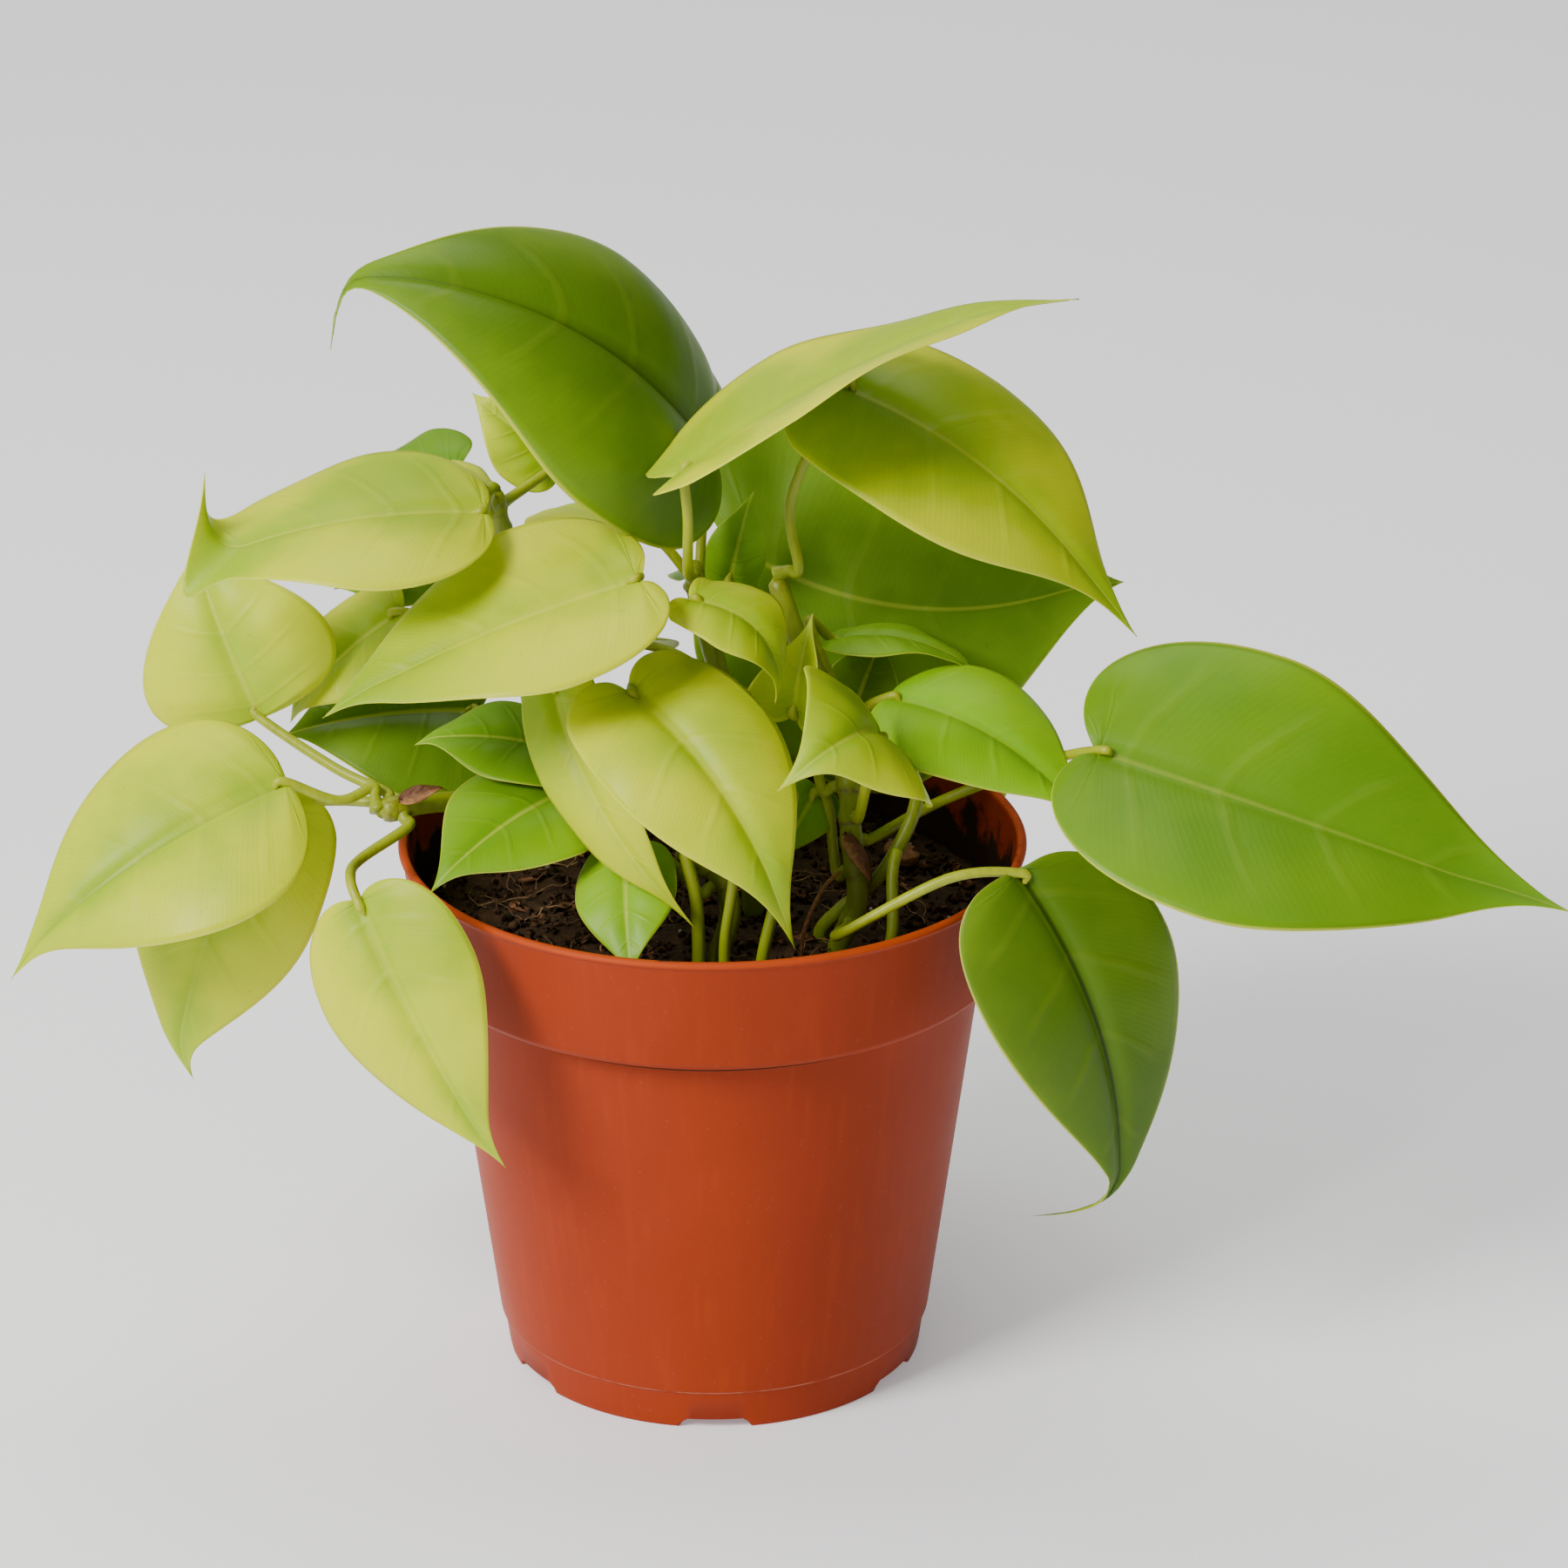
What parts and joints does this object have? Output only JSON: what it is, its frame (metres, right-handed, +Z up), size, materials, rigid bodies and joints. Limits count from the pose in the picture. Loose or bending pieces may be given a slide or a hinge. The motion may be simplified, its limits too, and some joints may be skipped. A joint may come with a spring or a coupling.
{
  "type": "potted philodendron",
  "caption": "Young heartleaf philodendron with yellow-green and green leaves in a tapered terracotta-coloured plastic nursery pot.",
  "frame": {"origin": "middle of the whole plant's footprint box, on the surface that the pot stands on", "axes": "+X from the left of the front view to its right, +Y to the back, +Z up out of the pot"},
  "size_m": [0.2656, 0.1492, 0.205],
  "materials": {
    "pot": "satin terracotta-coloured plastic",
    "soil": "damp dark potting mix",
    "bark": "rough bark",
    "dry_tissue": "dry brown plant tissue",
    "stem": "smooth green stem",
    "leaf_young": "semi-gloss yellow-green leaf",
    "leaf_middle": "semi-gloss light green leaf",
    "leaf_old": "semi-gloss green leaf"
  },
  "bodies": {
    "root": {"pot": "pot", "soil": "soil", "stem_right": "stem", "stem_left": "stem", "stem_center": "stem", "stem_tall": "stem", "stem_upper_left": "stem", "stem_back": "stem", "shoot_front_left": "stem", "shoot_front_middle": "stem", "shoot_front_right": "stem", "shoot_right_bow": "stem", "shoot_right_inner": "stem", "leaf_top_left": "leaf_old", "leaf_top_right": "leaf_young", "leaf_upper_right": "leaf_young", "leaf_back_right": "leaf_old", "leaf_behind_crown": "leaf_young", "leaf_behind_left": "leaf_middle", "leaf_right_lens": "leaf_middle", "leaf_far_right": "leaf_middle", "leaf_rim_right": "leaf_old", "leaf_middle_right": "leaf_middle", "leaf_behind_middle_right": "leaf_old", "leaf_front": "leaf_young", "leaf_twisted": "leaf_young", "leaf_folded": "leaf_young", "leaf_front_bent": "leaf_young", "leaf_strap": "leaf_young", "leaf_inner_right": "leaf_middle", "leaf_inner_back": "leaf_middle", "leaf_left_center": "leaf_young", "leaf_left_upper": "leaf_young", "leaf_left_round": "leaf_young", "leaf_left_low": "leaf_young", "leaf_left_bottom": "leaf_young", "leaf_rim_left": "leaf_young", "leaf_over_rim": "leaf_middle", "leaf_inside_rim": "leaf_middle", "leaf_small_left": "leaf_middle", "leaf_left_shade": "leaf_old", "leaf_left_inner": "leaf_middle", "leaf_left_hidden": "leaf_old", "leaf_back_left": "leaf_young", "leaf_back_middle": "leaf_middle", "leaf_back_low": "leaf_old", "leaf_back_high": "leaf_young", "dry_sheath_right": "dry_tissue", "dry_sheath_left": "dry_tissue", "aerial_root": "dry_tissue", "bark_chip_front": "bark", "bark_chip_left": "bark", "bark_chip_right": "bark", "bark_chip_back": "bark"}
  },
  "joints": []
}
